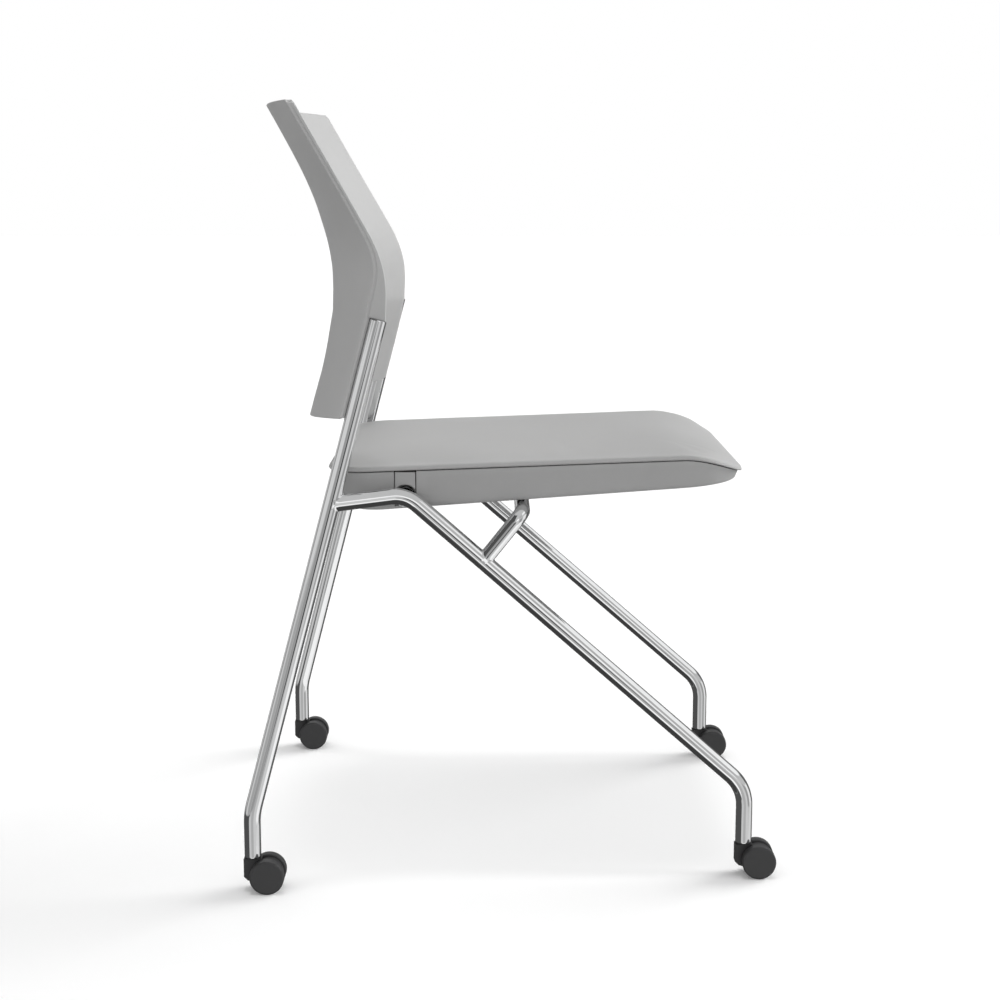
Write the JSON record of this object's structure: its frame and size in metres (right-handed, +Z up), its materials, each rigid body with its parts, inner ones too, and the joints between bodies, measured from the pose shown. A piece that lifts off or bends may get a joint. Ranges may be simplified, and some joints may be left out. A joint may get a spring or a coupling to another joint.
{
  "type": "nesting chair",
  "caption": "Armless nesting chair: chromed bent-tube frame on twin-wheel swivel casters, curved plastic back shell and padded seat that flips up about a cross tube.",
  "frame": {"origin": "on the floor under the middle of the chair's bounding box", "axes": "+Z up, -Y towards the front of the seat, +X towards the sitter's left"},
  "size_m": [0.5624, 0.5802, 0.846],
  "materials": {
    "chrome": "polished chrome plate",
    "steel": "zinc-plated steel",
    "shell": "fine-textured moulded grey plastic",
    "pan": "moulded grey plastic",
    "pad": "smooth matte grey vinyl",
    "board": "raw plywood",
    "wheel": "charcoal nylon",
    "caster_plastic": "black nylon",
    "rubber": "matte black rubber"
  },
  "bodies": {
    "frame": {"upright_right": "chrome", "upright_left": "chrome", "front_leg_right": "chrome", "front_leg_left": "chrome", "front_crossbar": "chrome", "pivot_tube": "chrome", "upright_plug_right": "shell", "upright_plug_left": "shell", "back_shell": "shell", "stem_socket_rear_right": "caster_plastic", "stem_socket_rear_left": "caster_plastic", "stem_socket_front_right": "caster_plastic", "stem_socket_front_left": "caster_plastic"},
    "seat": {"seat_pan": "pan", "seat_board": "board", "seat_pad": "pad", "hinge_block_right": "pan", "hinge_block_left": "pan", "hinge_strap_right": "steel", "hinge_strap_left": "steel", "hinge_screw_right_front": "steel", "hinge_screw_right_rear": "steel", "hinge_screw_left_front": "steel", "hinge_screw_left_rear": "steel", "seat_bumper_right": "rubber", "seat_bumper_left": "rubber"},
    "caster_rear_right": {"caster_stem_rear_right": "steel", "caster_horn_rear_right": "caster_plastic", "caster_axle_rear_right": "steel"},
    "caster_rear_left": {"caster_stem_rear_left": "steel", "caster_horn_rear_left": "caster_plastic", "caster_axle_rear_left": "steel"},
    "caster_front_right": {"caster_stem_front_right": "steel", "caster_horn_front_right": "caster_plastic", "caster_axle_front_right": "steel"},
    "caster_front_left": {"caster_stem_front_left": "steel", "caster_horn_front_left": "caster_plastic", "caster_axle_front_left": "steel"},
    "wheel_rear_right_outer": {"wheel_rear_right_right": "wheel"},
    "wheel_rear_right_inner": {"wheel_rear_right_left": "wheel"},
    "wheel_rear_left_inner": {"wheel_rear_left_right": "wheel"},
    "wheel_rear_left_outer": {"wheel_rear_left_left": "wheel"},
    "wheel_front_right_outer": {"wheel_front_right_right": "wheel"},
    "wheel_front_right_inner": {"wheel_front_right_left": "wheel"},
    "wheel_front_left_inner": {"wheel_front_left_right": "wheel"},
    "wheel_front_left_outer": {"wheel_front_left_left": "wheel"}
  },
  "joints": [
    {"name": "seat_flip", "type": "hinge", "parent": "frame", "child": "seat", "pos_m": [0, 0.11547, 0.4222], "axis": [-1, 0, 0], "range_deg": [0, 80]},
    {"name": "swivel_rear_right", "type": "hinge", "parent": "frame", "child": "caster_rear_right", "pos_m": [-0.2635, 0.2805, 0.037], "axis": [0, 0, 1], "continuous": true},
    {"name": "swivel_rear_left", "type": "hinge", "parent": "frame", "child": "caster_rear_left", "pos_m": [0.2635, 0.2805, 0.037], "axis": [0, 0, 1], "continuous": true},
    {"name": "swivel_front_right", "type": "hinge", "parent": "frame", "child": "caster_front_right", "pos_m": [-0.22, -0.2555, 0.037], "axis": [0, 0, 1], "continuous": true},
    {"name": "swivel_front_left", "type": "hinge", "parent": "frame", "child": "caster_front_left", "pos_m": [0.22, -0.2555, 0.037], "axis": [0, 0, 1], "continuous": true},
    {"name": "spin_rear_right_outer", "type": "hinge", "parent": "caster_rear_right", "child": "wheel_rear_right_outer", "pos_m": [-0.2635, 0.2645, 0.0186], "axis": [1, 0, 0], "continuous": true},
    {"name": "spin_rear_right_inner", "type": "hinge", "parent": "caster_rear_right", "child": "wheel_rear_right_inner", "pos_m": [-0.2635, 0.2645, 0.0186], "axis": [1, 0, 0], "continuous": true},
    {"name": "spin_rear_left_inner", "type": "hinge", "parent": "caster_rear_left", "child": "wheel_rear_left_inner", "pos_m": [0.2635, 0.2645, 0.0186], "axis": [1, 0, 0], "continuous": true},
    {"name": "spin_rear_left_outer", "type": "hinge", "parent": "caster_rear_left", "child": "wheel_rear_left_outer", "pos_m": [0.2635, 0.2645, 0.0186], "axis": [1, 0, 0], "continuous": true},
    {"name": "spin_front_right_outer", "type": "hinge", "parent": "caster_front_right", "child": "wheel_front_right_outer", "pos_m": [-0.22, -0.2715, 0.0186], "axis": [1, 0, 0], "continuous": true},
    {"name": "spin_front_right_inner", "type": "hinge", "parent": "caster_front_right", "child": "wheel_front_right_inner", "pos_m": [-0.22, -0.2715, 0.0186], "axis": [1, 0, 0], "continuous": true},
    {"name": "spin_front_left_inner", "type": "hinge", "parent": "caster_front_left", "child": "wheel_front_left_inner", "pos_m": [0.22, -0.2715, 0.0186], "axis": [1, 0, 0], "continuous": true},
    {"name": "spin_front_left_outer", "type": "hinge", "parent": "caster_front_left", "child": "wheel_front_left_outer", "pos_m": [0.22, -0.2715, 0.0186], "axis": [1, 0, 0], "continuous": true}
  ]
}
